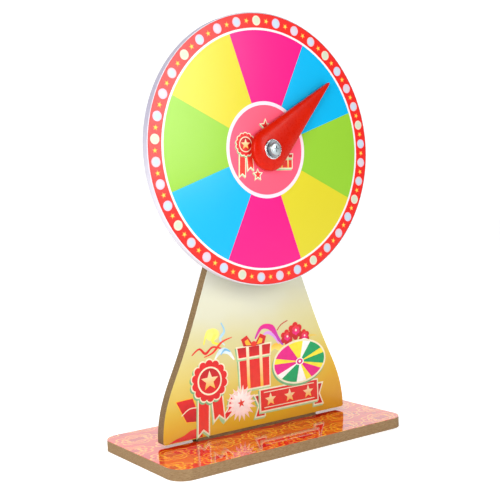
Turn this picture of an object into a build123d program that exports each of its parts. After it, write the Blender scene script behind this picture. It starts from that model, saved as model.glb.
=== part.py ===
from build123d import *
from math import asin, cos, pi, radians, sin
import os

# A tabletop prize spinner. A printed round dial is fixed in front of a bell-shaped
# upright, the upright plugs into a slot in the base board, and a moulded pointer
# turns on a ball bearing in front of the dial.
# Millimetres. +Z is up, the dial faces -Y, and the origin is the centre of the
# underside of the base.

# Base board
base_length = 316.0
base_width = 168.0
base_thickness = 12.0
base_corner_radius = 20.0
film_thickness = 0.3

# Upright: half outline from the foot to the round top, and the tenon in the base
stand_thickness = 12.0
stand_foot_width = 256.0
stand_flare_width = 205.0
stand_flare_height = 100.0
stand_neck_width = 125.6
stand_neck_height = 200.0
stand_top_radius = 35.0
stand_foot_round = 3.0
shoulder_gap = 3.5
tenon_length = 168.0
tenon_recess = 0.5
slot_end_clearance = 2.5
slot_side_clearance = 0.15
slot_corner_radius = 1.5

# Dial and the two discs that hold it off the upright
dial_centre_height = 330.0
dial_diameter = 300.0
dial_thickness = 9.0
dial_edge_round = 0.8
print_margin = 1.2
spacer_diameter = 60.0
spacer_thickness = 12.0
spacer_edge_round = 1.0

# Countersunk screws through the upright and the discs into the dial
fixing_screw_count = 4
fixing_circle_diameter = 42.0
fixing_shank_diameter = 4.0
fixing_head_diameter = 8.0
fixing_head_height = 2.4
fixing_bite = 6.0
fixing_point_length = 3.0
fixing_hole_clearance = 0.2

# Pivot screw, washers and nut
pivot_diameter = 6.0
pivot_head_diameter = 14.0
pivot_head_height = 3.8
pivot_head_edge_height = 1.5
pivot_tail = 2.0
pivot_hole_clearance = 0.2
front_washer_diameter = 16.0
rear_washer_diameter = 18.0
washer_thickness = 1.6
nut_across_flats = 10.0
nut_height = 5.0
nut_chamfer = 0.6

# Cross recesses
pivot_recess_span = 6.6
pivot_recess_width = 1.5
pivot_recess_depth = 2.2
fixing_recess_span = 4.4
fixing_recess_width = 1.0
fixing_recess_depth = 1.6

# Deep-groove ball bearing and its stepped bush
bearing_bore = 8.0
bearing_diameter = 22.0
bearing_width = 7.0
bearing_chamfer = 0.3
ball_diameter = 3.969
ball_count = 7
inner_land_diameter = 12.1
outer_land_diameter = 18.0
shield_seat_diameter = 19.2
shield_thickness = 0.35
shield_recess = 0.35
shield_gap = 0.25
cage_inner_diameter = 13.0
cage_outer_diameter = 17.0
cage_back_web = 0.55
cage_front_reach = 1.0
running_clearance = 0.05
collar_diameter = 12.0
collar_length = 6.0
bush_end_gap = 0.2

# Pointer: a hollow moulding, widest round the bearing
pointer_angle = 49.4  # clockwise from straight up, seen from the front
pointer_hub_radius = 23.5
pointer_reach = 116.0
pointer_tip_radius = 1.2
pointer_lift = 3.0
pointer_side_height = 4.0
pointer_crown_height = 6.0
pointer_wall = 2.0
boss_wall = 2.0
bearing_lip_width = 1.1
bearing_lip_thickness = 1.2
rib_thickness = 1.6
rib_setback = 2.0

# Places that follow from the sizes, as distances in front of the upright's middle
base_top = base_thickness + film_thickness
shoulder_height = base_top + shoulder_gap
stand_front = stand_thickness / 2
stand_film_front = stand_front + film_thickness
spacer_middle = stand_film_front + spacer_thickness
dial_back = spacer_middle + spacer_thickness
dial_front = dial_back + dial_thickness
dial_film_front = dial_front + film_thickness
bearing_back = dial_film_front + collar_length
bearing_middle = bearing_back + bearing_width / 2
bearing_front = bearing_back + bearing_width
head_seat = bearing_front + washer_thickness
ball_circle_radius = (bearing_bore + bearing_diameter) / 4
pivot_clear_radius = pivot_diameter / 2 + pivot_hole_clearance

# Local x is the object's +X, local y is up and local z comes out of the dial
front_view = Plane(origin=(0, 0, 0), x_dir=(1, 0, 0), z_dir=(0, -1, 0))
dial_view = Plane(origin=(0, 0, dial_centre_height), x_dir=(1, 0, 0), z_dir=(0, -1, 0))
pointer_x = (sin(radians(pointer_angle)), 0, cos(radians(pointer_angle)))
pointer_view = Plane(origin=(0, 0, dial_centre_height), x_dir=pointer_x, z_dir=(0, -1, 0))


def prism(sketch, start, end):
    """Solid of a flat outline between two levels."""
    return Pos(0, 0, start) * extrude(sketch, end - start)


def disc(radius, start, end):
    """Round solid on the z axis between two levels."""
    return prism(Circle(radius), start, end)


def ring(outer_radius, inner_radius, start, end):
    """Round solid with a round hole between two levels."""
    return prism(Circle(outer_radius) - Circle(inner_radius), start, end)


def cross_recess(span, width, depth, top):
    """Cross-shaped pocket with slightly tapered wings below a level."""
    cross = Rectangle(span, width) + Rectangle(width, span)
    return Pos(0, 0, top) * extrude(cross, -depth, taper=8)


def fixing_spots():
    """Places of the countersunk screws round the dial axis."""
    return PolarLocations(fixing_circle_diameter / 2, fixing_screw_count, 45)


def fixing_holes(radius, start, end):
    """One hole for each countersunk screw between two levels."""
    return Compound(fixing_spots() * disc(radius, start, end))


def base_outline():
    """Round-cornered outline of the base with the slot for the tenon."""
    slot_length = tenon_length + 2 * slot_end_clearance
    slot_width = stand_thickness + 2 * slot_side_clearance
    slot = RectangleRounded(slot_length, slot_width, slot_corner_radius)
    return RectangleRounded(base_length, base_width, base_corner_radius) - slot


def make_base_board():
    return prism(base_outline(), 0, base_thickness)


def make_base_film():
    return prism(base_outline(), base_thickness, base_top)


def stand_outline():
    """Bell outline: a flared foot, a narrow neck and a round top on the dial axis."""
    foot = (stand_foot_width / 2, shoulder_height)
    flare = (stand_flare_width / 2, stand_flare_height)
    neck = (stand_neck_width / 2, stand_neck_height)
    crown = (stand_top_radius, dial_centre_height)
    side = Spline(foot, flare, neck, crown, tangents=[(0, 1), (0, 1)])
    top = ThreePointArc(
        crown,
        (0, dial_centre_height + stand_top_radius),
        (-stand_top_radius, dial_centre_height),
    )
    foot_line = Line((-foot[0], foot[1]), foot)
    bell = make_face(side + top + mirror(side, Plane.YZ) + foot_line)
    feet = bell.vertices().group_by(Axis.Y)[0]
    return fillet(feet, stand_foot_round)


def tenon_outline():
    """The tongue below the bell, run up past the rounded feet to join it."""
    tenon_height = shoulder_height - tenon_recess
    return Pos(0, tenon_recess) * Rectangle(
        tenon_length, tenon_height + stand_foot_round, align=(Align.CENTER, Align.MIN)
    )


def pierced(outline):
    """The outline with a hole for the pivot screw on the dial axis."""
    return outline - Pos(0, dial_centre_height) * Circle(pivot_clear_radius)


def at_dial(solid):
    """Moves a solid made about the z axis to the dial axis."""
    return dial_view.location * solid


def make_stand_board():
    outline = pierced(stand_outline() + tenon_outline())
    board = front_view.location * prism(outline, -stand_front, stand_front)
    clear = fixing_shank_diameter / 2 + fixing_hole_clearance
    holes = fixing_holes(clear, -stand_front, stand_front)
    sink = Pos(0, 0, -stand_front + fixing_head_height / 2) * Cone(
        fixing_head_diameter / 2,
        fixing_shank_diameter / 2,
        fixing_head_height,
    )
    return board - at_dial(holes) - at_dial(Compound(fixing_spots() * sink))


def make_stand_film():
    """Printed film on the bell alone: the tenon below it stays bare."""
    outline = pierced(stand_outline())
    film = front_view.location * prism(outline, stand_front, stand_film_front)
    clear = fixing_shank_diameter / 2 + fixing_hole_clearance
    return film - at_dial(fixing_holes(clear, stand_front, stand_film_front))


def make_spacer_disc(start):
    """One of the two equal discs between the upright and the dial."""
    end = start + spacer_thickness
    body = ring(spacer_diameter / 2, pivot_clear_radius, start, end)
    rims = body.edges().filter_by(GeomType.CIRCLE).sort_by(SortBy.RADIUS)[-2:]
    body = chamfer(rims, spacer_edge_round)
    clear = fixing_shank_diameter / 2 + fixing_hole_clearance
    return at_dial(body - fixing_holes(clear, start, end))


def make_dial_board():
    body = ring(dial_diameter / 2, pivot_clear_radius, dial_back, dial_front)
    rims = body.edges().filter_by(GeomType.CIRCLE).sort_by(SortBy.RADIUS)[-2:]
    body = fillet(rims, dial_edge_round)
    pilots = fixing_holes(fixing_shank_diameter / 2, dial_back, dial_back + fixing_bite)
    return at_dial(body - pilots)


def make_dial_film():
    radius = dial_diameter / 2 - print_margin
    return at_dial(ring(radius, pivot_clear_radius, dial_front, dial_film_front))


def make_fixing_screws():
    """Countersunk screws, heads flush with the back of the upright."""
    back = -stand_front
    tip = dial_back + fixing_bite
    shank_radius = fixing_shank_diameter / 2
    point_radius = shank_radius / 4
    profile = Polyline(
        (0, back),
        (fixing_head_diameter / 2, back),
        (shank_radius, back + fixing_head_height),
        (shank_radius, tip - fixing_point_length),
        (point_radius, tip),
        (0, tip),
        close=True,
    )
    screw = revolve(Plane.XZ * make_face(profile), Axis.Z)
    recess = cross_recess(
        fixing_recess_span, fixing_recess_width, fixing_recess_depth, 0
    )
    screw -= Pos(0, 0, back) * Rot(180, 0, 0) * recess
    return at_dial(Compound(children=[spot * screw for spot in fixing_spots()]))


def make_pivot_screw():
    """Pan-head screw clamping the bush, dial, discs and upright together."""
    tail = -stand_front - washer_thickness - nut_height - pivot_tail
    shank = disc(pivot_diameter / 2, tail, head_seat)
    end_edge = shank.edges().sort_by(Axis.Z)[0]
    shank = chamfer(end_edge, pivot_diameter / 12)
    head_radius = pivot_head_diameter / 2
    top = head_seat + pivot_head_height
    edge_top = head_seat + pivot_head_edge_height
    shoulder = (head_radius * 0.62, top - 0.35)
    outline = (
        Line((0, head_seat), (head_radius, head_seat))
        + Line((head_radius, head_seat), (head_radius, edge_top))
        + Spline((head_radius, edge_top), shoulder, (0, top), tangents=[(0, 1), (-1, 0)])
        + Line((0, top), (0, head_seat))
    )
    head = revolve(Plane.XZ * make_face(outline), Axis.Z)
    recess = cross_recess(
        pivot_recess_span, pivot_recess_width, pivot_recess_depth, top
    )
    return at_dial(shank + head - recess)


def make_front_washer():
    return at_dial(
        ring(front_washer_diameter / 2, pivot_clear_radius, bearing_front, head_seat)
    )


def make_rear_washer():
    seat = -stand_front
    return at_dial(
        ring(rear_washer_diameter / 2, pivot_clear_radius, seat - washer_thickness, seat)
    )


def make_pivot_nut():
    """Hexagon nut behind the upright, chamfered on both faces."""
    end = -stand_front - washer_thickness
    start = end - nut_height
    flat_radius = nut_across_flats / 2
    corner_radius = flat_radius / cos(radians(30))
    hexagon = RegularPolygon(flat_radius, 6, major_radius=False)
    envelope = disc(corner_radius, start, end)
    rims = envelope.edges().filter_by(GeomType.CIRCLE)
    envelope = chamfer(rims, nut_chamfer, nut_chamfer * 1.6)
    nut = prism(hexagon, start, end) & envelope
    return at_dial(nut - disc(pivot_diameter / 2, start, end))


def make_bearing_bush():
    """Stepped bush: a collar off the dial and a spigot in the bearing's bore."""
    collar = disc(collar_diameter / 2, dial_film_front, bearing_back)
    spigot = disc(bearing_bore / 2, bearing_back, bearing_front - bush_end_gap)
    hole_radius = pivot_diameter / 2 + running_clearance
    return at_dial(collar + spigot - disc(hole_radius, dial_film_front, bearing_front))


def ball_groove():
    """Ring-shaped track in which the balls run."""
    groove_radius = ball_diameter / 2 + running_clearance
    return Pos(0, 0, bearing_middle) * Torus(ball_circle_radius, groove_radius)


def make_bearing_inner_race():
    body = ring(inner_land_diameter / 2, bearing_bore / 2, bearing_back, bearing_front)
    return at_dial(body - ball_groove())


def make_bearing_outer_race():
    outer_radius = bearing_diameter / 2
    body = ring(outer_radius, outer_land_diameter / 2, bearing_back, bearing_front)
    rims = body.edges().filter_by(GeomType.CIRCLE).sort_by(SortBy.RADIUS)[-2:]
    body = chamfer(rims, bearing_chamfer)
    seat_depth = shield_recess + shield_thickness
    seat_radius = shield_seat_diameter / 2
    body -= disc(seat_radius, bearing_front - seat_depth, bearing_front)
    body -= disc(seat_radius, bearing_back, bearing_back + seat_depth)
    return at_dial(body - ball_groove())


def make_bearing_balls():
    spots = PolarLocations(ball_circle_radius, ball_count)
    ball = Pos(0, 0, bearing_middle) * Sphere(ball_diameter / 2)
    return at_dial(Compound(children=[spot * ball for spot in spots]))


def make_bearing_cage():
    """Crown cage that keeps the balls apart."""
    pocket_radius = ball_diameter / 2 + running_clearance
    start = bearing_middle - pocket_radius - cage_back_web
    end = bearing_middle + cage_front_reach
    body = ring(cage_outer_diameter / 2, cage_inner_diameter / 2, start, end)
    spots = PolarLocations(ball_circle_radius, ball_count)
    pockets = spots * (Pos(0, 0, bearing_middle) * Sphere(pocket_radius))
    return at_dial(body - pockets)


def make_bearing_shield(start):
    """Thin plate in one face of the outer race, clear of the inner race."""
    inner_radius = inner_land_diameter / 2 + shield_gap
    end = start + shield_thickness
    return at_dial(ring(shield_seat_diameter / 2, inner_radius, start, end))


def half_teardrop(inset, end_radius):
    """Half outline of the pointer on one side of its long axis, drawn in by an inset."""
    hub_radius = pointer_hub_radius - inset
    taper = (pointer_hub_radius - pointer_tip_radius) / pointer_reach
    reach = (hub_radius - end_radius) / taper
    lean = asin(taper)
    back_arc = ThreePointArc(
        (-hub_radius, 0),
        (hub_radius * sin(lean / 2 - pi / 4), hub_radius * cos(lean / 2 - pi / 4)),
        (hub_radius * sin(lean), hub_radius * cos(lean)),
    )
    tip_middle = lean / 2 + pi / 4
    tip_arc = ThreePointArc(
        (reach + end_radius * sin(lean), end_radius * cos(lean)),
        (reach + end_radius * sin(tip_middle), end_radius * cos(tip_middle)),
        (reach + end_radius, 0),
    )
    side = Line(back_arc @ 1, tip_arc @ 0)
    return make_face(back_arc + side + tip_arc + Line(tip_arc @ 1, back_arc @ 0))


def pointer_hull(inset, end_radius):
    """Upright-sided teardrop under a crown that is half an ellipse across the arm."""
    floor = dial_film_front + pointer_lift
    shoulder = floor + pointer_side_height
    half = half_teardrop(inset, end_radius)
    side_wall = prism(half + mirror(half, Plane.XZ), floor, shoulder)
    crown_rise = (pointer_crown_height - inset) / (pointer_hub_radius - inset)
    crown = scale(revolve(half, Axis.X), by=(1, 1, crown_rise))
    span = 4 * pointer_reach
    upper_space = Box(span, span, span, align=(Align.CENTER, Align.CENTER, Align.MIN))
    return side_wall + Pos(0, 0, shoulder) * (crown & upper_space)


def make_pointer():
    """Hollow teardrop with a boss for the bearing and a rib along its arm."""
    floor = dial_film_front + pointer_lift
    crown_top = floor + pointer_side_height + pointer_crown_height
    seat_radius = bearing_diameter / 2
    lip_start = bearing_back - bearing_lip_thickness
    shell = pointer_hull(0, pointer_tip_radius)
    hollow = pointer_hull(pointer_wall, pointer_tip_radius / 2)
    boss = disc(seat_radius + boss_wall, lip_start, bearing_front)
    rib = Pos(pointer_reach / 2, 0, crown_top) * Box(
        pointer_reach, rib_thickness, 2 * (crown_top - floor - rib_setback)
    )
    body = shell - (hollow - boss - rib)
    body -= disc(seat_radius, bearing_back, bearing_front)
    body -= disc(seat_radius - bearing_lip_width, floor, bearing_back)
    return pointer_view.location * body


front_shield_start = bearing_front - shield_recess - shield_thickness
rear_shield_start = bearing_back + shield_recess

pieces = {
    "base_board": make_base_board(),
    "base_film": make_base_film(),
    "stand_board": make_stand_board(),
    "stand_film": make_stand_film(),
    "spacer_disc_rear": make_spacer_disc(stand_film_front),
    "spacer_disc_front": make_spacer_disc(spacer_middle),
    "dial_board": make_dial_board(),
    "dial_film": make_dial_film(),
    "dial_fixing_screws": make_fixing_screws(),
    "pivot_screw": make_pivot_screw(),
    "front_washer": make_front_washer(),
    "rear_washer": make_rear_washer(),
    "pivot_nut": make_pivot_nut(),
    "bearing_bush": make_bearing_bush(),
    "bearing_inner_race": make_bearing_inner_race(),
    "bearing_outer_race": make_bearing_outer_race(),
    "bearing_balls": make_bearing_balls(),
    "bearing_cage": make_bearing_cage(),
    "bearing_shield_front": make_bearing_shield(front_shield_start),
    "bearing_shield_rear": make_bearing_shield(rear_shield_start),
    "pointer_shell": make_pointer(),
}

os.makedirs("parts", exist_ok=True)
for name, piece in pieces.items():
    export_step(piece, os.path.join("parts", name + ".step"))
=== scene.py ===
import bmesh
import bpy
from math import asin, ceil, cos, pi, radians, sin, sqrt
from mathutils import Matrix, Vector


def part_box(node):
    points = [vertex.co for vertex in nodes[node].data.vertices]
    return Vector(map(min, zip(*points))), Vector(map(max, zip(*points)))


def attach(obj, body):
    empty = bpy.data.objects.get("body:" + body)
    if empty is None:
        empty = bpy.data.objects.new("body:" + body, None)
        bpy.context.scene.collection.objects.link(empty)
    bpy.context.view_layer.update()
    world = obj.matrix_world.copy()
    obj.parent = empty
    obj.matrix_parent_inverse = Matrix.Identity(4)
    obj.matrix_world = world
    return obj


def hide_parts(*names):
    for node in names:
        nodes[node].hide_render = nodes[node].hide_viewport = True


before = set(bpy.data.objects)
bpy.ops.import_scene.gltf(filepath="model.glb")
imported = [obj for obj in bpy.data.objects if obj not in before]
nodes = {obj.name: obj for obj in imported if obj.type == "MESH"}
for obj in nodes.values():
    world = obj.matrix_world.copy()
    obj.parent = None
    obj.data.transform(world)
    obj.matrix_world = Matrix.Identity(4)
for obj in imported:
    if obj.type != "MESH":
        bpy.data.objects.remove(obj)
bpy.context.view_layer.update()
scene = bpy.context.scene
mm = 0.001
print("frame loaded with", len(nodes), "nodes")

# levels and centres that everything else is placed from
dialLow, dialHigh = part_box("dial_film")
dialHeight = (dialLow.z + dialHigh.z) / 2
dialFace = dialLow.y
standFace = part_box("stand_film")[0].y


def ink(red, green, blue):  # a colour as mixed on a screen, 0 to 255, made linear
    def linear(part):
        part = part / 255
        return part / 12.92 if part <= 0.04045 else ((part + 0.055) / 1.055) ** 2.4
    return (linear(red), linear(green), linear(blue), 1.0)


def sized(obj, body, slot, *stoodFor):
    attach(obj, body)
    if stoodFor:
        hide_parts(*stoodFor)
    return obj


# a socket that builds Math nodes when it is used in plain arithmetic
class Sock:
    def __init__(self, graph, out):
        self.graph = graph
        self.out = out

    def __add__(self, other):
        return self.graph.maths("ADD", self, other)

    def __radd__(self, other):
        return self.graph.maths("ADD", other, self)

    def __sub__(self, other):
        return self.graph.maths("SUBTRACT", self, other)

    def __rsub__(self, other):
        return self.graph.maths("SUBTRACT", other, self)

    def __mul__(self, other):
        return self.graph.maths("MULTIPLY", self, other)

    def __rmul__(self, other):
        return self.graph.maths("MULTIPLY", other, self)

    def __truediv__(self, other):
        return self.graph.maths("DIVIDE", self, other)

    def __rtruediv__(self, other):
        return self.graph.maths("DIVIDE", other, self)

    def __mod__(self, other):
        return self.graph.maths("FLOORED_MODULO", self, other)

    def __gt__(self, other):  # a mask, 1 where it holds
        return self.graph.maths("GREATER_THAN", self, other)

    def __lt__(self, other):
        return self.graph.maths("LESS_THAN", self, other)

    def __abs__(self):
        return self.graph.maths("ABSOLUTE", self)


class Graph:
    def __init__(self, tree):
        self.tree = tree

    def plug(self, socket, value):
        if isinstance(value, Sock):
            self.tree.links.new(value.out, socket)
        else:
            socket.default_value = value

    def node(self, kind, settings=None, sockets=None, output=0):
        made = self.tree.nodes.new(kind)
        for key, value in (settings or {}).items():
            if key == "stops":
                self.setStops(made.color_ramp, value)
            else:
                setattr(made, key, value)
        for key, value in (sockets or {}).items():
            self.plug(made.inputs[key], value)
        return Sock(self, made.outputs[output])

    def setStops(self, ramp, stops):
        while len(ramp.elements) < len(stops):
            ramp.elements.new(1.0)
        for element, (place, colour) in zip(ramp.elements, stops):
            element.position = place
            element.color = colour

    def maths(self, operation, *values):
        return self.node("ShaderNodeMath", {"operation": operation}, dict(enumerate(values)))

    def vectorMaths(self, operation, *values):
        return self.node("ShaderNodeVectorMath", {"operation": operation}, dict(enumerate(values)))

    def axes(self, vector):
        parts = self.node("ShaderNodeSeparateXYZ", {}, {0: vector})
        return [Sock(self, out) for out in parts.out.node.outputs]

    def smooth(self, value, start, end):  # 0 below start, 1 above end
        settings = {"interpolation_type": "SMOOTHSTEP"}
        return self.node("ShaderNodeMapRange", settings, {0: value, 1: start, 2: end})

    def mix(self, share, first, second):
        settings = {"data_type": "RGBA"}
        return self.node("ShaderNodeMix", settings, {0: share, 6: first, 7: second}, 2)


class Finish(Graph):
    def __init__(self, name, **constants):
        self.material = bpy.data.materials.new(name)
        self.material.use_nodes = True
        super().__init__(self.material.node_tree)
        self.tree.nodes.clear()
        self.shader = self.tree.nodes.new("ShaderNodeBsdfPrincipled")
        end = self.tree.nodes.new("ShaderNodeOutputMaterial")
        self.tree.links.new(self.shader.outputs[0], end.inputs[0])
        for key, value in constants.items():
            self.feed(key.replace("_", " "), value)

    def feed(self, name, value):
        self.plug(self.shader.inputs[name], value)

    def place(self):
        return self.node("ShaderNodeTexCoord", output="Object")

    def noise(self, scale, detail=2.0, roughness=0.5):  # scale is in cycles per metre, per axis
        if not isinstance(scale, tuple):
            scale = (scale, scale, scale)
        spot = self.vectorMaths("MULTIPLY", self.place(), scale)
        sockets = {"Vector": spot, "Scale": 1.0, "Detail": detail, "Roughness": roughness}
        return self.node("ShaderNodeTexNoise", {"normalize": True}, sockets)

    def gloss(self, roughness, drift, scale, detail=2.0):  # roughness that drifts over the surface
        grain = self.noise(scale, detail)
        self.feed("Roughness", roughness + grain * drift)
        return grain

    def bump(self, height, depth):
        sockets = {"Height": height, "Distance": depth, "Strength": 1.0}
        self.feed("Normal", self.node("ShaderNodeBump", {}, sockets))

    def attribute(self, name, output="Fac"):
        return self.node("ShaderNodeAttribute", {"attribute_name": name}, {}, output)


def dress(obj, finish):
    obj.data.materials.clear()
    obj.data.materials.append(finish.material)


# the camera stands in front of the dial, to its left, and looks slightly down
cameraSettings = {
    "place": (-0.5834, -0.8212, 0.2781),
    "yaw": 35.41,
    "pitch": -3.41,
    "roll": -2.29,
    "lens": 63.2,
    "sensor": 36.0,
    "nearest": 0.01,
}


def makeCamera(s):
    data = bpy.data.cameras.new("camera")
    camera = bpy.data.objects.new("camera", data)
    scene.collection.objects.link(camera)
    data.lens = s["lens"]
    data.sensor_width = s["sensor"]
    data.clip_start = s["nearest"]
    yaw, pitch, roll = radians(s["yaw"]), radians(s["pitch"]), radians(s["roll"])
    ahead = Vector((sin(yaw) * cos(pitch), cos(yaw) * cos(pitch), sin(pitch)))
    right = Vector((cos(yaw), -sin(yaw), 0))
    up = right.cross(ahead)
    turnedRight = right * cos(roll) + up * sin(roll)
    turnedUp = up * cos(roll) - right * sin(roll)
    turn = Matrix((turnedRight, turnedUp, -ahead)).transposed()
    camera.matrix_world = Matrix.Translation(s["place"]) @ turn.to_4x4()
    scene.camera = camera


makeCamera(cameraSettings)


studioSettings = {
    "backdrop": 1.12,  # sky behind the object
    "room": 0.08,  # and in front of it
    "turnOver": (-0.35, 0.3),  # where one becomes the other, from front to back
    "floorHalf": 6.0,
    "floorColour": (0.72, 0.72, 0.72, 1.0),
    "floorGlow": 0.55,
    "floorRoughness": 0.9,
}

lampSettings = {
    "key light": {"place": (-0.55, -0.41, 0.47), "aim": (0, 0, 0.3), "size": (0.36, 0.36), "power": 3.8},
    "top light": {"place": (-0.1, 0.5, 1.6), "aim": (0, 0, 0.0), "size": (1.0, 1.0), "power": 5.0},
    "sheen light": {"place": (0.72, -1.76, 0.8), "aim": (0, 0, 0.33), "size": (0.62, 0.95), "power": 14.5},
}
white = (1.0, 1.0, 1.0, 1.0)


def makeSky(s):
    world = bpy.data.worlds.new("studio sky")
    scene.world = world
    world.use_nodes = True
    graph = Graph(world.node_tree)
    graph.tree.nodes.clear()
    _, ahead, _ = graph.axes(graph.node("ShaderNodeTexCoord", output="Generated"))
    level = s["room"] + graph.smooth(ahead, *s["turnOver"]) * (s["backdrop"] - s["room"])
    back = graph.node("ShaderNodeBackground", {}, {"Strength": level})
    back.out.node.inputs["Color"].default_value = white
    end = graph.tree.nodes.new("ShaderNodeOutputWorld")
    graph.tree.links.new(back.out, end.inputs[0])


def makeLamp(name, s):
    data = bpy.data.lights.new(name, "AREA")
    data.shape = "RECTANGLE"
    data.size, data.size_y = s["size"]
    data.energy = s["power"]
    lamp = bpy.data.objects.new(name, data)
    scene.collection.objects.link(lamp)
    lamp.location = s["place"]
    away = Vector(s["place"]) - Vector(s["aim"])
    lamp.rotation_mode = "QUATERNION"
    lamp.rotation_quaternion = away.to_track_quat("Z", "Y")


def makeFloor(s):
    half = s["floorHalf"]
    mesh = bpy.data.meshes.new("floor")
    corners = [(-half, -half, 0), (half, -half, 0), (half, half, 0), (-half, half, 0)]
    mesh.from_pydata(corners, [], [(0, 1, 2, 3)])
    floor = bpy.data.objects.new("floor", mesh)
    scene.collection.objects.link(floor)
    finish = Finish("pale floor", Base_Color=s["floorColour"], Roughness=s["floorRoughness"])
    finish.feed("Emission Color", white)
    finish.feed("Emission Strength", s["floorGlow"])
    dress(floor, finish)


makeSky(studioSettings)
for lampName, lampValues in lampSettings.items():
    makeLamp(lampName, lampValues)
makeFloor(studioSettings)
scene.view_settings.view_transform = "Standard"
print("camera, lights and floor ready")


fibreSettings = {
    "fibres": (260, 260, 1400),
    "flecks": (900, 900, 2200),
    "blotches": (45, 45, 120),
    "fleckShare": 0.75,
    "blotchShare": 0.3,
    "roughness": 0.86,
    "depth": 0.35 * mm,
    # pale, middle and dark fibres
    "raw fibreboard": (ink(164, 136, 100), ink(134, 105, 72), ink(84, 58, 34)),
    # the upright's board is the same fibreboard as the base, its colours painted darker as shade
    "upright fibreboard painted darker as shade": (ink(137, 113, 80), ink(113, 89, 59), ink(76, 54, 30)),
}


def fibreboard(name, s):
    pale, middle, dark = s[name]
    finish = Finish(name, Roughness=s["roughness"], Specular_IOR_Level=0.2)
    fibres = finish.noise(s["fibres"], 4.0, 0.6)
    flecks = finish.noise(s["flecks"], 3.0, 0.7)
    blotches = finish.noise(s["blotches"])
    colour = finish.mix(finish.smooth(fibres, 0.3, 0.7), middle, pale)
    colour = finish.mix(finish.smooth(flecks, 0.55, 0.75) * s["fleckShare"], colour, dark)
    colour = finish.mix(finish.smooth(blotches, 0.35, 0.75) * s["blotchShare"], colour, middle)
    finish.feed("Base Color", colour)
    finish.bump(fibres * 0.6 + flecks * 0.4, s["depth"])
    return finish


foamSettings = {
    "white": ink(214, 211, 218),
    "shade": ink(207, 204, 212),
    "edgeShadeHigh": ink(154, 150, 168),  # the cut edge, greyer towards the top from painted shade
    "edgeShadeLow": ink(202, 199, 208),
    "edgeFrom": 149.6 * mm,
    "edgeShadeTurn": (-80 * mm, 60 * mm),  # heights about the centre where the edge's painted shade changes
    "cells": 1500,
    "pulls": 60,
    "roughness": 0.55,
    "depth": 0.1 * mm,
}


def polar(finish):  # distance from the dial's centre, then the two distances it comes from
    across, _, up = finish.axes(finish.place())
    up = up - dialHeight
    return finish.maths("SQRT", across * across + up * up), across, up


def foamedBoard(s):
    finish = Finish("white foamed board", Roughness=s["roughness"], Specular_IOR_Level=0.35)
    reach, _, up = polar(finish)
    face = finish.mix(finish.smooth(finish.noise(s["pulls"]), 0.3, 0.7), s["shade"], s["white"])
    # painted shade and light on the cut edge: greyer towards the top, paler below
    edge = finish.mix(finish.smooth(up, *s["edgeShadeTurn"]), s["edgeShadeLow"], s["edgeShadeHigh"])
    finish.feed("Base Color", finish.mix(reach > s["edgeFrom"], face, edge))
    finish.bump(finish.noise(s["cells"]), s["depth"])
    return finish


metalSettings = {
    # colour, roughness, scratches along each axis and their depth
    "zinc plated steel": (ink(206, 208, 210), 0.26, (900, 200, 900), 0.01 * mm),
    # the same zinc painted darker as the shade in the recess round the pivot, for the front washer and
    # bearing shields
    "zinc plated steel painted darker as shade": (ink(138, 142, 146), 0.3, (900, 200, 900), 0.01 * mm),
    "nickel plated steel": (ink(176, 186, 188), 0.3, (700, 700, 700), 0.006 * mm),
    "polished bearing steel": (ink(232, 233, 236), 0.08, (500, 2400, 500), 0.004 * mm),
    "turned aluminium": (ink(222, 222, 224), 0.28, (300, 3200, 300), 0.01 * mm),
    "smears": 300,
}


def metal(name, s):
    colour, roughness, grain, depth = s[name]
    finish = Finish(name, Base_Color=colour, Metallic=1.0)
    scratches = finish.noise(grain, 3.0, 0.6)
    smears = finish.noise(s["smears"])
    finish.feed("Roughness", roughness + scratches * 0.12 + smears * 0.08)
    finish.bump(scratches, depth)
    return finish


plasticSettings = {
    # colour, its darker clouds, roughness and coat
    "cage nylon": (ink(196, 160, 96), ink(182, 146, 84), 0.45, 0.0),
    "red moulded plastic": (ink(196, 28, 4), ink(188, 22, 3), 0.24, 0.04),
    "clouds": 70,
    "ripples": 420,
    "depth": 0.02 * mm,
}


def moulded(name, s):
    colour, shade, roughness, coat = s[name]
    finish = Finish(name, Coat_Weight=coat, Coat_Roughness=0.06, Specular_IOR_Level=0.1)
    cloud = finish.smooth(finish.noise(s["clouds"]), 0.3, 0.7)
    finish.feed("Base Color", finish.mix(cloud, colour, shade))
    finish.bump(finish.gloss(roughness, 0.08, s["ripples"]), s["depth"])
    return finish


dialPrint = {
    "turn": 3.1,  # degrees clockwise
    "sectors": 8,
    "inks": [ink(242, 20, 125), ink(0, 170, 222), ink(140, 192, 50), ink(210, 197, 42)],
    "hubInk": ink(244, 86, 115),
    "hubRadius": 49.4 * mm,
    "hubLine": 53.4 * mm,
    "line": (130.7 * mm, 133.1 * mm),
    "lineInk": ink(236, 226, 226),
    "hubLineInk": ink(238, 214, 224),
    "rimInk": ink(224, 38, 34),
    "edgeInk": ink(196, 22, 26),
    "edgeStart": 147.9 * mm,
    "gloss": (0.17, 0.06, 700),  # roughness, its drift and the drift's scale
    "depth": 0.01 * mm,
}


def dialFilm(s):
    finish = Finish("dial print", Specular_IOR_Level=0.3)
    reach, across, up = polar(finish)
    turned = finish.maths("ARCTAN2", across, up) - radians(s["turn"])
    wedge = finish.maths("FLOOR", turned / (2 * pi / s["sectors"]) + 0.5) + s["sectors"]
    phase = wedge % len(s["inks"])
    colour = s["inks"][0]
    for step, nextInk in enumerate(s["inks"][1:]):
        colour = finish.mix(phase > step + 0.5, colour, nextInk)
    for inside, tint in (
        (reach < s["hubLine"], "hubLineInk"),
        (reach < s["hubRadius"], "hubInk"),
        (reach > s["line"][0], "lineInk"),
        (reach > s["line"][1], "rimInk"),
        (reach > s["edgeStart"], "edgeInk"),
    ):
        colour = finish.mix(inside, colour, s[tint])
    finish.feed("Base Color", colour)
    finish.bump(finish.gloss(*s["gloss"]), s["depth"])
    return finish


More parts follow.
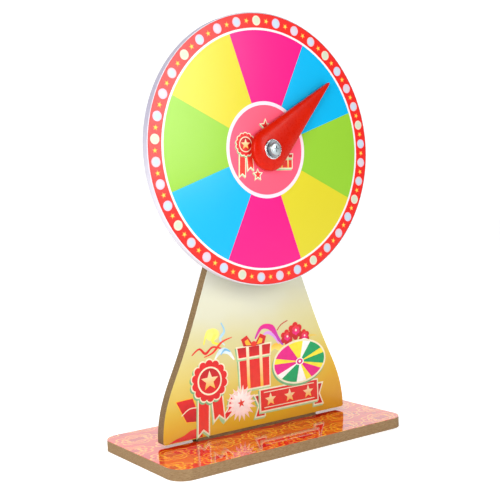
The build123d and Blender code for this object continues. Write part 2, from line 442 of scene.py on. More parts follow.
# the base's print has rows of lobed medallions round square frets
basePrint = {
    "pitch": (58 * mm, 40 * mm),
    "offset": (14 * mm, 10 * mm),
    "lobes": 8,
    "lobeDepth": 0.13,
    "lobeSwing": 1.6,
    "flatten": 0.66,
    "rings": (25.0 * mm, 17.5 * mm),
    "fret": 9.0 * mm,
    "fretSquash": 0.8,
    "fretGap": 1.6 * mm,
    "lineWidth": 1.15 * mm,
    "ground": ink(224, 52, 8),
    "deep": ink(200, 14, 8),
    "fill": ink(230, 74, 8),
    "line": ink(250, 164, 40),
    "patches": 38,  # where the ground deepens, and by how much
    "patchShare": 0.7,
    "gloss": (0.03, 0.04, 60, 1.0),
}


def baseFilm(s):
    finish = Finish("base print", Coat_Weight=1.0, Coat_Roughness=0.02, Specular_IOR_Level=0.1)
    across, along, _ = finish.axes(finish.place())
    pitchX, pitchY = s["pitch"]
    row = finish.maths("FLOOR", (along + s["offset"][1]) / pitchY)
    shift = (row % 2) * 0.5
    cellX = (((across + s["offset"][0]) / pitchX + shift) % 1 - 0.5) * pitchX
    cellY = (((along + s["offset"][1]) / pitchY) % 1 - 0.5) * pitchY
    tall = cellY / s["flatten"]
    reach = finish.maths("SQRT", cellX * cellX + tall * tall)
    angle = finish.maths("ARCTAN2", tall, cellX)
    scallop = abs(finish.maths("COSINE", angle * (s["lobes"] / 2)))
    lobed = reach / (1 - s["lobeDepth"] + scallop * s["lobeDepth"] * s["lobeSwing"])
    line = 0
    for radius in s["rings"]:
        line = line + (abs(lobed - radius) < s["lineWidth"])
    square = finish.maths("MAXIMUM", abs(cellX) * s["fretSquash"], abs(tall))
    notch = abs(cellX - cellY) > s["fretGap"]
    line = line + (abs(square - s["fret"]) < s["lineWidth"]) * notch
    line = finish.maths("MINIMUM", line, 1)
    colour = finish.mix(lobed < s["rings"][1], s["ground"], s["fill"])
    colour = finish.mix(square < s["fret"], colour, s["deep"])
    patches = finish.smooth(finish.noise(s["patches"]), 0.5, 0.62)
    colour = finish.mix(patches * s["patchShare"], colour, s["deep"])
    finish.feed("Base Color", finish.mix(line, colour, s["line"]))
    finish.gloss(*s["gloss"])
    return finish


# the upright's print fades from pale green above to deep yellow below
standPrint = {
    "low": -10 * mm,
    "high": 190 * mm,
    "spread": 0.17,
    "lean": 0.13,
    "stops": [
        (0.0, ink(212, 154, 38)),
        (0.16, ink(214, 168, 34)),
        (0.28, ink(213, 181, 60)),
        (0.42, ink(214, 195, 102)),
        (0.6, ink(207, 200, 142)),
        (0.8, ink(206, 206, 180)),
        (1.0, ink(202, 203, 187)),
    ],
    "clouds": (14, 14, 22),
    "cloudDepth": 50 * mm,
    "gloss": (0.28, 0.06, 500),
}


def standFilm(s):
    finish = Finish("upright print", Coat_Weight=0.15, Coat_Roughness=0.12, Specular_IOR_Level=0.25)
    across, _, up = finish.axes(finish.place())
    cloud = (finish.noise(s["clouds"]) - 0.5) * s["cloudDepth"]
    level = up - abs(across) * s["spread"] - across * s["lean"] + cloud
    share = (level - s["low"]) / (s["high"] - s["low"])
    finish.feed("Base Color", finish.node("ShaderNodeValToRGB", {"stops": s["stops"]}, {0: share}))
    finish.gloss(*s["gloss"])
    return finish


baseFibre = fibreboard("raw fibreboard", fibreSettings)
zinc = metal("zinc plated steel", metalSettings)
# the washer and shields' zinc carries painted shade
zincWithPaintedShade = metal("zinc plated steel painted darker as shade", metalSettings)
bearingSteel = metal("polished bearing steel", metalSettings)

nodeFinishes = {
    "base_board": baseFibre,
    "base_film": baseFilm(basePrint),
    # the upright's board wears the fibreboard painted darker as shade
    "stand_board": fibreboard("upright fibreboard painted darker as shade", fibreSettings),
    "stand_film": standFilm(standPrint),
    "spacer_disc_rear": baseFibre,
    "spacer_disc_front": baseFibre,
    "dial_board": foamedBoard(foamSettings),
    "dial_film": dialFilm(dialPrint),
    "dial_fixing_screws": zinc,
    "pivot_screw": metal("nickel plated steel", metalSettings),
    "front_washer": zincWithPaintedShade,
    "rear_washer": zinc,
    "pivot_nut": zinc,
    "bearing_bush": metal("turned aluminium", metalSettings),
    "bearing_inner_race": bearingSteel,
    "bearing_outer_race": bearingSteel,
    "bearing_balls": bearingSteel,
    "bearing_cage": moulded("cage nylon", plasticSettings),
    "bearing_shield_front": zincWithPaintedShade,
    "bearing_shield_rear": zincWithPaintedShade,
}
for name, finish in nodeFinishes.items():
    dress(nodes[name], finish)
print("finishes on the carried-over nodes")


# the pointer is a hollow teardrop moulding
pointerSettings = {
    "angle": 49.4,  # clockwise from straight up
    "hubRadius": 23.5 * mm,
    "reach": 116 * mm,
    "tipRadius": 1.2 * mm,
    "sideHeight": 4 * mm,
    "crownHeight": 6 * mm,
    "wall": 2 * mm,
    "bossWall": 2 * mm,
    "lipWidth": 1.1 * mm,
    "lipThickness": 1.2 * mm,
    "rib": 1.6 * mm,
    "ribSetback": 2 * mm,
    "rimRound": 0.35 * mm,
    "mouthRound": 0.45 * mm,
    "arcSteps": 40,
    "sideSteps": 48,
    "tipSteps": 8,
    "crownSteps": 20,
    "rimSteps": 4,
    "mouthSteps": 6,
    "boreSides": 96,
    "sharpAbove": 32,  # degrees
    "mergeWithin": 0.02 * mm,
}


def teardrop(s, inset, endRadius):  # outline points, anticlockwise seen from in front
    hub = s["hubRadius"] - inset
    taper = (s["hubRadius"] - s["tipRadius"]) / s["reach"]
    reach = (hub - endRadius) / taper
    lean = asin(taper)
    half = []
    for step in range(s["arcSteps"] + 1):
        turn = -pi / 2 + (lean + pi / 2) * step / s["arcSteps"]
        half.append((hub * sin(turn), hub * cos(turn)))
    tipStart = (reach + endRadius * sin(lean), endRadius * cos(lean))
    for step in range(1, s["sideSteps"]):
        share = step / s["sideSteps"]
        half.append(tuple(a + (b - a) * share for a, b in zip(half[s["arcSteps"]], tipStart)))
    for step in range(s["tipSteps"] + 1):
        turn = lean + (pi / 2 - lean) * step / s["tipSteps"]
        half.append((reach + endRadius * sin(turn), endRadius * cos(turn)))
    lower = [(x, -y) for x, y in half[1:-1]]
    return half[::-1] + lower


def hullMesh(s, inset, endRadius, rimRound):
    # rings from the open side up the wall and over the crown to the ridge
    rise = (s["crownHeight"] - inset) / (s["hubRadius"] - inset)
    rings = []
    for step in range(s["rimSteps"] + 1 if rimRound else 1):
        turn = pi / 2 * step / s["rimSteps"]
        outline = teardrop(s, inset + rimRound * (1 - sin(turn)), endRadius)
        rings.append([(x, y, rimRound * (1 - cos(turn))) for x, y in outline])
    outline = teardrop(s, inset, endRadius)
    top = s["sideHeight"]
    for step in range(s["crownSteps"] + 1):
        turn = pi / 2 * step / s["crownSteps"]
        rings.append([(x, y * cos(turn), top + rise * abs(y) * sin(turn)) for x, y in outline])
    mesh = bmesh.new()
    loops = [[mesh.verts.new(point) for point in ring] for ring in rings]
    count = len(outline)
    for lower, upper in zip(loops, loops[1:]):
        for i in range(count):
            j = (i + 1) % count
            mesh.faces.new((lower[i], lower[j], upper[j], upper[i]))
    mesh.faces.new(loops[0][::-1])
    bmesh.ops.remove_doubles(mesh, verts=mesh.verts, dist=s["mergeWithin"])
    bmesh.ops.recalc_face_normals(mesh, faces=mesh.faces)
    return mesh


def turnedMesh(profile, steps):  # a closed solid turned about z from (radius, height) points
    mesh = bmesh.new()
    rings = []
    for radius, height in profile:
        if radius < 1e-7:
            rings.append([mesh.verts.new((0, 0, height))] * steps)
        else:
            turns = [2 * pi * i / steps for i in range(steps)]
            rings.append([mesh.verts.new((radius * cos(t), radius * sin(t), height)) for t in turns])
    for lower, upper in zip(rings, rings[1:]):
        for i in range(steps):
            j = (i + 1) % steps
            corners = []
            for corner in (lower[i], lower[j], upper[j], upper[i]):
                if corner not in corners:
                    corners.append(corner)
            if len(corners) > 2:
                mesh.faces.new(corners)
    bmesh.ops.recalc_face_normals(mesh, faces=mesh.faces)
    return mesh


def asObject(name, mesh):
    data = bpy.data.meshes.new(name)
    mesh.to_mesh(data)
    mesh.free()
    obj = bpy.data.objects.new(name, data)
    scene.collection.objects.link(obj)
    return obj


def settled(obj):  # its modifiers worked into a plain mesh
    bpy.context.view_layer.update()
    evaluated = obj.evaluated_get(bpy.context.evaluated_depsgraph_get())
    data = bpy.data.meshes.new_from_object(evaluated)
    obj.modifiers.clear()
    old = obj.data
    obj.data = data
    bpy.data.meshes.remove(old)
    data.name = obj.name
    return obj


def carved(obj, tools):
    for tool in tools:
        cut = obj.modifiers.new("cut", "BOOLEAN")
        cut.operation = "DIFFERENCE"
        cut.solver = "EXACT"
        cut.object = tool
    settled(obj)
    for tool in tools:
        data = tool.data
        bpy.data.objects.remove(tool)
        bpy.data.meshes.remove(data)
    return obj


def smoothed(obj, sharpAbove):
    obj.data.polygons.foreach_set("use_smooth", [True] * len(obj.data.polygons))
    obj.data.set_sharp_from_angle(angle=radians(sharpAbove))
    return obj


def makePointer(s):
    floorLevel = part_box("pointer_shell")[1].y
    raceLow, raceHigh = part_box("bearing_outer_race")
    seat = (raceHigh.x - raceLow.x) / 2
    backOfRace = floorLevel - raceHigh.y
    crownTop = s["sideHeight"] + s["crownHeight"]
    cutTop = crownTop + s["wall"]
    shell = asObject("pointer", hullMesh(s, 0, s["tipRadius"], s["rimRound"]))
    hollow = asObject("pointer hollow", hullMesh(s, s["wall"], s["tipRadius"] / 2, 0))
    lipStart = backOfRace - s["lipThickness"]
    bossRadius = seat + s["bossWall"]
    bossSide = [(0, lipStart), (bossRadius, lipStart), (bossRadius, cutTop), (0, cutTop)]
    boss = asObject("pointer boss", turnedMesh(bossSide, s["boreSides"]))
    rib = bmesh.new()
    bmesh.ops.create_cube(rib, size=1.0)
    ribLow, ribHigh = s["ribSetback"], 2 * crownTop
    bmesh.ops.scale(rib, vec=(s["reach"], s["rib"], ribHigh - ribLow), verts=rib.verts)
    bmesh.ops.translate(rib, vec=(s["reach"] / 2, 0, (ribLow + ribHigh) / 2), verts=rib.verts)
    carved(hollow, [boss, asObject("pointer rib", rib)])
    # the seat's mouth flares by a small quarter round where it meets the crown
    mouth = [(0, -s["wall"]), (seat - s["lipWidth"], -s["wall"])]
    mouth += [(seat - s["lipWidth"], backOfRace), (seat, backOfRace)]
    crownAtSeat = s["sideHeight"] + s["crownHeight"] * sqrt(1 - (seat / s["hubRadius"]) ** 2)
    radius = s["mouthRound"]
    for step in range(s["mouthSteps"] + 1):
        turn = pi / 2 * step / s["mouthSteps"]
        mouth.append((seat + radius * (1 - cos(turn)), crownAtSeat - radius * (1 - sin(turn))))
    mouth += [(seat + radius, cutTop), (0, cutTop)]
    carved(shell, [hollow, asObject("pointer bore", turnedMesh(mouth, s["boreSides"]))])
    turn = radians(s["angle"])
    along = Vector((sin(turn), 0, cos(turn)))
    out = Vector((0, -1, 0))
    across = out.cross(along)
    place = Matrix((along, across, out)).transposed().to_4x4()
    place.translation = (0, floorLevel, dialHeight)
    shell.data.transform(place)
    smoothed(shell, s["sharpAbove"])
    dress(shell, moulded("red moulded plastic", plasticSettings))
    return sized(shell, "pointer", "pointer_plastic", "pointer_shell")


makePointer(pointerSettings)
print("pointer moulded")


# printed shapes are thin ink layers standing a hair above a face that looks along -Y;
# their outlines are (x, z) points in millimetres
def grown(points, by):  # an outline pushed outwards, corners mitred
    area = sum(a[0] * b[1] - b[0] * a[1] for a, b in zip(points, points[1:] + points[:1]))
    side = 1 if area > 0 else -1
    moved = []
    count = len(points)
    for i in range(count):
        before, here, after = points[i - 1], points[i], points[(i + 1) % count]
        first = Vector((here[0] - before[0], here[1] - before[1])).normalized()
        second = Vector((after[0] - here[0], after[1] - here[1])).normalized()
        normal = Vector((first.y + second.y, -first.x - second.x)) * side
        length = max(1 + first.dot(second), 0.35)
        moved.append((here[0] + normal.x * by / length, here[1] + normal.y * by / length))
    return moved


def shifted(points, dx, dz):
    return [(x + dx, z + dz) for x, z in points]


def oval(cx, cz, rx, rz, steps=40, lean=0.0):
    turn = radians(lean)
    points = []
    for i in range(steps):
        x, z = rx * cos(2 * pi * i / steps), rz * sin(2 * pi * i / steps)
        points.append((cx + x * cos(turn) - z * sin(turn), cz + x * sin(turn) + z * cos(turn)))
    return points


def star(cx, cz, outer, inner, arms=5, turn=90.0):
    points = []
    for i in range(2 * arms):
        reach = inner if i % 2 else outer
        angle = radians(turn) + pi * i / arms
        points.append((cx + reach * cos(angle), cz + reach * sin(angle)))
    return points


def scalloped(cx, cz, radius, depth, lobes, steps=10):
    points = []
    for i in range(lobes * steps):
        angle = 2 * pi * i / (lobes * steps)
        reach = radius - depth + depth * abs(sin(lobes * angle / 2)) ** 0.7
        points.append((cx + reach * cos(angle), cz + reach * sin(angle)))
    return points


def swept(route, width, taper=1.0, steps=8):  # a ribbon along a smooth route of a few points
    path = []
    ends = [route[0]] + list(route) + [route[-1]]
    for i in range(1, len(ends) - 2):
        p0, p1, p2, p3 = (Vector(p) for p in ends[i - 1:i + 3])
        for step in range(steps):
            t = step / steps
            bend = 2 * p1 + (p2 - p0) * t + (2 * p0 - 5 * p1 + 4 * p2 - p3) * t * t
            path.append((bend + (3 * p1 - p0 - 3 * p2 + p3) * t ** 3) / 2)
    path.append(Vector(route[-1]))
    left, right = [], []
    for i, here in enumerate(path):
        ahead = path[min(i + 1, len(path) - 1)] - path[max(i - 1, 0)]
        normal = Vector((-ahead.y, ahead.x)).normalized()
        share = i / (len(path) - 1)
        half = width / 2 * (1 + (taper - 1) * abs(2 * share - 1))
        left.append(tuple(here + normal * half))
        right.append(tuple(here - normal * half))
    return left + right[::-1]


inks = {
    "red": ink(216, 28, 28),
    "deepRed": ink(184, 14, 22),
    "scarlet": ink(226, 52, 32),
    "cream": ink(236, 228, 196),
    "blush": ink(246, 214, 206),
    "shadow": ink(118, 176, 122),
    "paleShadow": ink(168, 206, 150),
    "green": ink(10, 158, 92),
    "magenta": ink(226, 22, 132),
    "purple": ink(164, 60, 190),
    "lilac": ink(214, 150, 226),
    "blue": ink(120, 186, 226),
    "paleBlue": ink(196, 224, 232),
    "yellow": ink(240, 226, 52),
    "softYellow": ink(244, 232, 120),
    "gold": ink(246, 180, 40),
    "white": ink(246, 246, 240),
    "leafGold": ink(226, 196, 90),
}

sheetSettings = {
    "step": 0.012 * mm,  # from one ink level to the next
    "sunk": 0.05 * mm,  # how far each ink reaches into the film behind it
}


class InkSheet:
    def __init__(self, name, face):
        self.name = name
        self.face = face
        self.mesh = bmesh.new()
        self.colours = self.mesh.verts.layers.float_color.new("ink")

    def lay(self, points, name, level, lowest=None):
        # lowest is the ink at the lowest corner, so one ink can fade into another
        top, bottom = inks[name], inks[lowest or name]
        front, back = [], []
        heights = [z for _, z in points]
        low, span = min(heights), max(max(heights) - min(heights), 1e-6)
        for x, z in points:
            share = (z - low) / span
            tint = [b + (a - b) * share for a, b in zip(top, bottom)]
            for side, away in ((front, level * sheetSettings["step"]), (back, -sheetSettings["sunk"])):
                corner = self.mesh.verts.new((x * mm, self.face - away, z * mm))
                corner[self.colours] = tint
                side.append(corner)
        count = len(points)
        area = sum(a[0] * b[1] - b[0] * a[1] for a, b in zip(points, points[1:] + points[:1]))
        if area < 0:
            front.reverse()
            back.reverse()
        self.mesh.faces.new(front)
        self.mesh.faces.new(back[::-1])
        for i in range(count):
            j = (i + 1) % count
            self.mesh.faces.new((front[j], front[i], back[i], back[j]))

    def finished(self, finish, slot):
        self.mesh.normal_update()
        manySided = [f for f in self.mesh.faces if len(f.verts) > 4]
        bmesh.ops.triangulate(self.mesh, faces=manySided, ngon_method="EAR_CLIP")
        obj = asObject(self.name, self.mesh)
        dress(obj, finish)
        return sized(obj, "frame", slot)


inkFinish = {
    "upright inks": (0.15, 0.12),  # coat and its roughness
    "dial hub inks": (0.25, 0.2),
    "mottle": 160,
    "mottleShare": 0.6,
    "darker": (0.86, 0.84, 0.84),
    "gloss": (0.28, 0.06, 500),
}


def printedInk(name, s):
    coat, coatRoughness = s[name]
    finish = Finish(name, Coat_Weight=coat, Coat_Roughness=coatRoughness, Specular_IOR_Level=0.25)
    tint = finish.attribute("ink", "Color")
    mottle = finish.smooth(finish.noise(s["mottle"]), 0.35, 0.75)
    darker = finish.vectorMaths("MULTIPLY", tint, s["darker"])
    finish.feed("Base Color", finish.mix(mottle * s["mottleShare"], tint, darker))
    finish.gloss(*s["gloss"])
    return finish


outlineSettings = {"edge": 1.7, "drop": (-1.5, -1.7)}


def outlined(sheet, points, name, level, lowest=None, edge=None, drop=None):
    # an ink with a cream outline and a green drop shadow
    edge = edge or outlineSettings["edge"]
    drop = drop or outlineSettings["drop"]
    sheet.lay(shifted(grown(points, edge), *drop), "shadow", level, "paleShadow")
    sheet.lay(grown(points, edge), "cream", level + 1)
    sheet.lay(points, name, level + 2, lowest)


def rosette(sheet, cx, cz, radius, tailLow, level, size=1.0):
    # two ribbon tails under a scalloped round with a star
    edge = outlineSettings["edge"] * size
    drop = tuple(part * size for part in outlineSettings["drop"])
    width = radius * 0.56
    high = cz - radius * 0.3
    for side, low in ((-1, tailLow), (1, tailLow + radius * 0.55)):
        x = cx + side * radius * 0.34
        foot = x + side * radius * 0.12
        notch = (foot, low + width * 0.42)
        tail = [(x - width / 2, high), (x + width / 2, high), (foot + width / 2, low)]
        tail += [notch, (foot - width / 2, low)]
        outlined(sheet, tail, "red", level, "scarlet", edge, drop)
        level += 0.3
    for extra, name, move in ((edge, "shadow", drop), (edge, "cream", (0, 0)), (0, "red", (0, 0))):
        level += 1
        frill = scalloped(cx, cz, radius + extra, radius * 0.12, 14)
        sheet.lay(shifted(frill, *move), name, level + 1)
    sheet.lay(oval(cx, cz, radius * 0.68, radius * 0.68), "cream", level + 2)
    sheet.lay(oval(cx, cz, radius * 0.6, radius * 0.6), "deepRed", level + 3, "red")
    sheet.lay(star(cx, cz, radius * 0.5, radius * 0.21), "cream", level + 4, "gold")


def bow(sheet, cx, cz, span, colour, level):
    for side in (-1, 1):
        loop = [(cx, cz), (cx + side * span * 0.3, cz + span * 0.42)]
        loop += [(cx + side * span * 0.56, cz + span * 0.3), (cx + side * span * 0.46, cz + span * 0.04)]
        sheet.lay(loop, colour, level, "deepRed")
        inner = [(abs(x - cx) * 0.5 + span * 0.12, (z - cz) * 0.55 + span * 0.05) for x, z in loop]
        sheet.lay([(cx + side * x, cz + z) for x, z in inner], "gold", level + 1)
    sheet.lay(oval(cx, cz + span * 0.08, span * 0.12, span * 0.1, 16), "scarlet", level + 2)


def giftBox(sheet, cx, low, width, height, level, edge=None):
    half = width / 2
    lid = height * 0.24
    body = [(cx - half * 0.92, low), (cx + half * 0.92, low)]
    body += [(cx + half * 0.96, low + height - lid), (cx - half * 0.96, low + height - lid)]
    outlined(sheet, body, "red", level, "scarlet", edge)
    top = [(cx - half, low + height - lid), (cx + half, low + height - lid)]
    top += [(cx + half * 1.06, low + height), (cx - half * 1.06, low + height)]
    outlined(sheet, top, "deepRed", level + 3, "red", edge)
    for side in (-0.42, 0.42):
        x = cx + side * half
        strip = [(x - width * 0.045, low), (x + width * 0.045, low)]
        strip += [(x + width * 0.045, low + height), (x - width * 0.045, low + height)]
        sheet.lay(strip, "cream", level + 6, "gold")
    bow(sheet, cx, low + height, width * 0.72, "red", level + 7)


wheelWedges = [  # ink and its span in degrees, clockwise
    ("white", 18), ("green", 34), ("yellow", 16), ("green", 32), ("yellow", 14),
    ("magenta", 30), ("yellow", 14), ("white", 22), ("green", 38), ("white", 16),
    ("magenta", 32), ("yellow", 16), ("magenta", 44), ("yellow", 34),
]


def prizeWheel(sheet, cx, cz, rx, rz, lean, level):
    outline = oval(cx, cz, rx, rz, 64, lean)
    sheet.lay(shifted(grown(outline, 2.4), -1.2, -2.2), "shadow", level)
    sheet.lay(grown(outline, 2.2), "cream", level + 1)
    tilt = radians(lean)
    start = 80.0
    for name, span in wheelWedges:
        fan = [(cx, cz)]
        pieces = max(2, ceil(span / 6))
        for i in range(pieces + 1):
            angle = radians(start - span * i / pieces)
            x, z = rx * cos(angle), rz * sin(angle)
            fan.append((cx + x * cos(tilt) - z * sin(tilt), cz + x * sin(tilt) + z * cos(tilt)))
        sheet.lay(fan, name, level + 2)
        start -= span
    for share, name in ((0.16, "white"), (0.12, "magenta"), (0.05, "white")):
        level += 1
        sheet.lay(oval(cx, cz, rx * share, rz * share * 1.15, 24, lean), name, level + 2)


def banner(sheet, left, right, low, high, level):
    # a ribbon with folded ends and three stars
    fold = (right - left) * 0.1
    drop = (high - low) * 0.22
    for side, edgeX in ((-1, left), (1, right)):
        inner = edgeX - side * fold
        tip, notch = edgeX + side * fold * 0.3, edgeX - side * fold * 0.25
        tail = [(inner, low - drop), (tip, low - drop), (notch, (low + high) / 2 - drop)]
        tail += [(tip, high - drop), (inner, high - drop)]
        outlined(sheet, tail, "deepRed", level, "red")
    band = [(left + fold * 0.5, low), (right - fold * 0.5, low)]
    band += [(right - fold * 0.5, high), (left + fold * 0.5, high)]
    outlined(sheet, band, "red", level + 3, "scarlet")
    lineInset, lineHalf = 3.0, 0.5
    for z in (low + lineInset, high - lineInset):
        line = [(left + fold, z - lineHalf), (right - fold, z - lineHalf)]
        line += [(right - fold, z + lineHalf), (left + fold, z + lineHalf)]
        sheet.lay(line, "cream", level + 6)
    middle = (low + high) / 2
    for share in (0.2, 0.5, 0.8):
        x = left + (right - left) * share
        sheet.lay(star(x, middle - 0.4, 8.2, 3.6), "cream", level + 7, "gold")


standArt = {
    "streamers": [  # route, width, taper, ink, level and the ink at its lowest corner
        ([(-72, 118), (-66, 132), (-56, 130), (-60, 120), (-50, 116)], 5.0, 0.3, "softYellow", 1, "yellow"),
        ([(-48, 140), (-44, 130), (-50, 122), (-44, 114)], 3.4, 0.3, "blue", 2, "paleBlue"),
        ([(-88, 108), (-78, 114), (-70, 108), (-60, 114), (-46, 110)], 3.2, 0.4, "red", 3, None),
        ([(-72, 104), (-60, 108), (-48, 118), (-34, 122)], 3.0, 0.3, "scarlet", 4, None),
        ([(-58, 100), (-50, 108), (-40, 106), (-32, 96)], 7.0, 0.2, "paleBlue", 5, "white"),
        ([(-50, 104), (-44, 109), (-37, 106)], 2.6, 0.5, "blue", 6, None),
        ([(-2, 116), (8, 128), (22, 126), (30, 114), (38, 104)], 7.5, 0.25, "magenta", 3, "purple"),
        ([(4, 112), (14, 121), (24, 117), (32, 106)], 4.0, 0.3, "lilac", 4, None),
        ([(30, 122), (36, 128), (46, 132)], 1.2, 1.0, "deepRed", 4, None),
        ([(72, 106), (80, 110), (90, 109)], 3.2, 0.2, "leafGold", 3, None),
        ([(18, 98), (26, 104), (38, 100), (46, 106)], 8.0, 0.3, "gold", 3, "softYellow"),
        ([(60, 104), (70, 106), (80, 103)], 4.0, 0.3, "white", 14, "blush"),
        ([(-104, 44), (-94, 50), (-84, 50)], 1.1, 1.0, "cream", 3, None),
    ],
    "balloon": (-60, 128, 9, 7),
    "flowers": [(44, 112, 13, 5), (70, 110, 12, 8), (57, 118, 15, 11)],  # x, z, size, level
    "envelope": [(-110, 60), (-89, 61), (-80, 34), (-98, 36)],
    "wave": [(-122, 16.4), (-112, 20), (-102, 22), (-94, 26), (-86, 27), (-79, 24), (-78, 16.4)],
    "gift": (-4, 60, 44, 48),  # middle, foot, width, height
    "ribbon": [(-50, 31), (-40, 40), (-36, 52), (-24, 58)],
    "rosette": (-66, 77, 23.5, 19),
    "banner": (-2, 92, 31, 55),
    "burst": (-25, 45),
    "rays": [(18, 21, "blush", 26), (14, 16, "white", 27)],  # count, reach, ink, level
    "wheel": (62, 81, 38, 24, 2),  # centre, half sizes and lean
}


def makeStandArt(s):
    sheet = InkSheet("upright_print_inks", standFace)
    for route, width, taper, name, level, lowest in s["streamers"]:
        sheet.lay(swept(route, width, taper), name, level, lowest)
    sheet.lay(oval(*s["balloon"]), "softYellow", 0.5)
    for x, z, size, level in s["flowers"]:
        sheet.lay(scalloped(x, z, size * 0.72, size * 0.18, 6), "red", level, "deepRed")
        sheet.lay(scalloped(x + 1, z + 1, size * 0.4, size * 0.1, 6), "scarlet", level + 1, "magenta")
        sheet.lay(oval(x + 1, z + 1, size * 0.1, size * 0.1, 12), "blush", level + 2)
    sheet.lay(grown(s["envelope"], 0.9), "gold", 1)
    sheet.lay(s["envelope"], "red", 2, "deepRed")
    sheet.lay(s["wave"], "scarlet", 2, "red")
    giftBox(sheet, *s["gift"], 8)
    outlined(sheet, swept(s["ribbon"], 6.5, 0.7), "red", 5.5)
    rosette(sheet, *s["rosette"], 9)
    banner(sheet, *s["banner"], 18)
    for count, reach, name, level in s["rays"]:
        sheet.lay(star(*s["burst"], reach, reach * 0.62, count, 80), name, level, "blush")
    sheet.lay(star(*s["burst"], 5.5, 2.2, 5, 95), "scarlet", 28)
    prizeWheel(sheet, *s["wheel"], 29)
    sheet.finished(printedInk("upright inks", inkFinish), "stand_print")


hubArt = {  # places are from the dial's centre
    "rosette": (-28, 6, 12.5, -28),
    "rosetteSize": 0.6,
    "gift": (25, -20, 21, 15),
    "giftEdge": 1.1,
    "stars": [(0, 26, 6.5, 2.8, 1.2), (-13, -27, 5, 2.2, 1.1)],  # place, radii and outline
    "starDrop": (-0.8, -0.9),
}


def makeHubArt(s):
    sheet = InkSheet("dial_hub_inks", dialFace)
    height = dialHeight / mm
    x, z, radius, tailLow = s["rosette"]
    rosette(sheet, x, height + z, radius, height + tailLow, 2, s["rosetteSize"])
    x, z, width, tall = s["gift"]
    giftBox(sheet, x, height + z, width, tall, 14, s["giftEdge"])
    for x, z, outer, inner, edge in s["stars"]:
        outlined(sheet, star(x, height + z, outer, inner), "red", 2, None, edge, s["starDrop"])
    sheet.finished(printedInk("dial hub inks", inkFinish), "dial_print")


makeStandArt(standArt)
makeHubArt(hubArt)
print("printed shapes laid")


# lamps and small stars are repeated round the dial's rim
rimSettings = {
    "count": 36,
    "circle": 140.8 * mm,
    "firstLamp": -3.9,  # degrees clockwise from straight up
    "swing": (2.1, 1.4, 46.0),  # degrees: the artwork's spacing is a little uneven
    "lampRadius": 5.35 * mm,
    "starRadius": 3.5 * mm,
    "starWaist": 0.42,
    "lampSides": 28,
    "starSides": 10,
    "thickness": 0.1 * mm,  # half of it stands proud of the film
}


def rimTree(name, sides, starred):
    tree = bpy.data.node_groups.new(name, "GeometryNodeTree")
    for label, kind in (
        ("Count", "NodeSocketInt"),
        ("Circle", "NodeSocketFloat"),
        ("Size", "NodeSocketFloat"),
        ("Waist", "NodeSocketFloat"),
        ("Thickness", "NodeSocketFloat"),
        ("First", "NodeSocketFloat"),
        ("Step Offset", "NodeSocketFloat"),
        ("Swing", "NodeSocketVector"),
        ("Centre", "NodeSocketVector"),
        ("Finish", "NodeSocketMaterial"),
    ):
        tree.interface.new_socket(name=label, in_out="INPUT", socket_type=kind)
    tree.interface.new_socket(name="Geometry", in_out="OUTPUT", socket_type="NodeSocketGeometry")
    graph = Graph(tree)
    given = graph.node("NodeGroupInput").out.node.outputs

    def asked(label):
        return Sock(graph, given[label])

    token = graph.node(
        "GeometryNodeMeshCylinder",
        {"fill_type": "TRIANGLE_FAN"},
        {"Vertices": sides, "Radius": asked("Size"), "Depth": asked("Thickness")},
        "Mesh",
    )
    place = graph.node("GeometryNodeInputPosition")
    if starred:  # every other corner drawn in to the waist
        x, y, z = graph.axes(place)
        wave = graph.maths("COSINE", graph.maths("ARCTAN2", y, x) * (sides / 2))
        share = asked("Waist") + (1 - asked("Waist")) * (wave + 1) / 2
        corner = graph.node("ShaderNodeCombineXYZ", {}, {0: x * share, 1: y * share, 2: z})
        token = graph.node("GeometryNodeSetPosition", {}, {"Geometry": token, "Position": corner})
    x, y, _ = graph.axes(place)
    reach = graph.maths("SQRT", x * x + y * y) / asked("Size")
    token = graph.node(
        "GeometryNodeStoreNamedAttribute",
        {"data_type": "FLOAT", "domain": "POINT"},
        {"Geometry": token, "Name": "reach", "Value": reach},
    )
    # places round the rim, clockwise from straight up, as angles that swing about even steps
    order = graph.node("GeometryNodeInputIndex")
    even = (order + asked("Step Offset")) / asked("Count") * (2 * pi)
    double, single, lean = graph.axes(asked("Swing"))
    swung = even + double * graph.maths("SINE", even * 2)
    swung = swung + single * graph.maths("COSINE", even - lean) + asked("First")
    spotX = asked("Circle") * graph.maths("SINE", swung)
    spotY = asked("Circle") * graph.maths("COSINE", swung)
    spot = graph.node("ShaderNodeCombineXYZ", {}, {0: spotX, 1: spotY})
    points = graph.node("GeometryNodePoints", {}, {"Count": asked("Count"), "Position": spot})
    turned = graph.node("ShaderNodeCombineXYZ", {}, {2: 0 - swung})
    laid = graph.node(
        "GeometryNodeInstanceOnPoints",
        {},
        {"Points": points, "Instance": token, "Rotation": turned},
    )
    laid = graph.node(
        "GeometryNodeStoreNamedAttribute",
        {"data_type": "FLOAT", "domain": "INSTANCE"},
        {"Geometry": laid, "Name": "order", "Value": order},
    )
    real = graph.node("GeometryNodeRealizeInstances", {}, {0: laid})
    # the ring is laid out flat, then stood up to face -Y
    real = graph.node(
        "GeometryNodeTransform",
        {},
        {"Geometry": real, "Rotation": (pi / 2, 0, 0), "Translation": asked("Centre")},
    )
    real = graph.node("GeometryNodeSetMaterial", {}, {"Geometry": real, "Material": asked("Finish")})
    end = graph.tree.nodes.new("NodeGroupOutput")
    tree.links.new(real.out, end.inputs[0])
    return tree


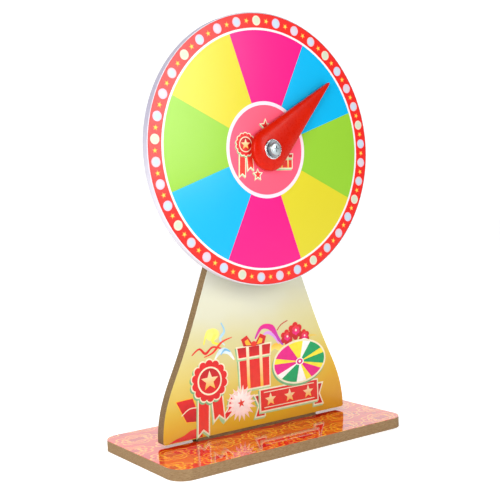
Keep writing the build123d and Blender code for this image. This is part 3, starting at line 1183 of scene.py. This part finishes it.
def grownFromTree(name, tree, values):
    mesh = bpy.data.meshes.new(name)
    obj = bpy.data.objects.new(name, mesh)
    scene.collection.objects.link(obj)
    modifier = obj.modifiers.new("tree", "NODES")
    modifier.node_group = tree
    for item in tree.interface.items_tree:
        if item.in_out == "INPUT":
            modifier[item.identifier] = values[item.name]
    return settled(obj)


rimInks = {
    "rings": [ink(218, 208, 184), ink(198, 186, 212), ink(214, 182, 200), ink(210, 184, 190)],
    "centres": [ink(198, 206, 178), ink(184, 202, 216), ink(204, 196, 206), ink(186, 198, 216)],
    "star": (ink(250, 208, 84), ink(236, 140, 40)),  # middle and points
    "gloss": (0.3, 0.08, 600),
}


def lampInk(s):
    finish = Finish("lamp ink", Specular_IOR_Level=0.3)
    phase = finish.attribute("order") % len(s["rings"])
    ring, centre = s["rings"][0], s["centres"][0]
    for step in range(1, len(s["rings"])):
        ring = finish.mix(phase > step - 0.5, ring, s["rings"][step])
        centre = finish.mix(phase > step - 0.5, centre, s["centres"][step])
    reach = finish.attribute("reach")
    finish.feed("Base Color", finish.mix(finish.smooth(reach, 0.6, 0.82), centre, ring))
    finish.gloss(*s["gloss"])
    return finish


def starInk(s):
    finish = Finish("star ink", Specular_IOR_Level=0.3)
    share = finish.smooth(finish.attribute("reach"), 0.15, 0.7)
    finish.feed("Base Color", finish.mix(share, *s["star"]))
    finish.gloss(*s["gloss"])
    return finish


def makeRim(s):
    centre = (0, dialFace, dialHeight)
    for name, sides, starred, size, offset, finish in (
        ("rim_lamps", s["lampSides"], False, s["lampRadius"], 0.0, lampInk(rimInks)),
        ("rim_stars", s["starSides"], True, s["starRadius"], 0.5, starInk(rimInks)),
    ):
        values = {
            "Count": s["count"],
            "Circle": s["circle"],
            "Size": size,
            "Waist": s["starWaist"],
            "Thickness": s["thickness"],
            "First": radians(s["firstLamp"]),
            "Step Offset": offset,
            "Swing": [radians(part) for part in s["swing"]],
            "Centre": centre,
            "Finish": finish.material,
        }
        obj = grownFromTree(name, rimTree(name + " tree", sides, starred), values)
        sized(obj, "frame", "dial_print")


makeRim(rimSettings)
print("lamps and stars round the rim")
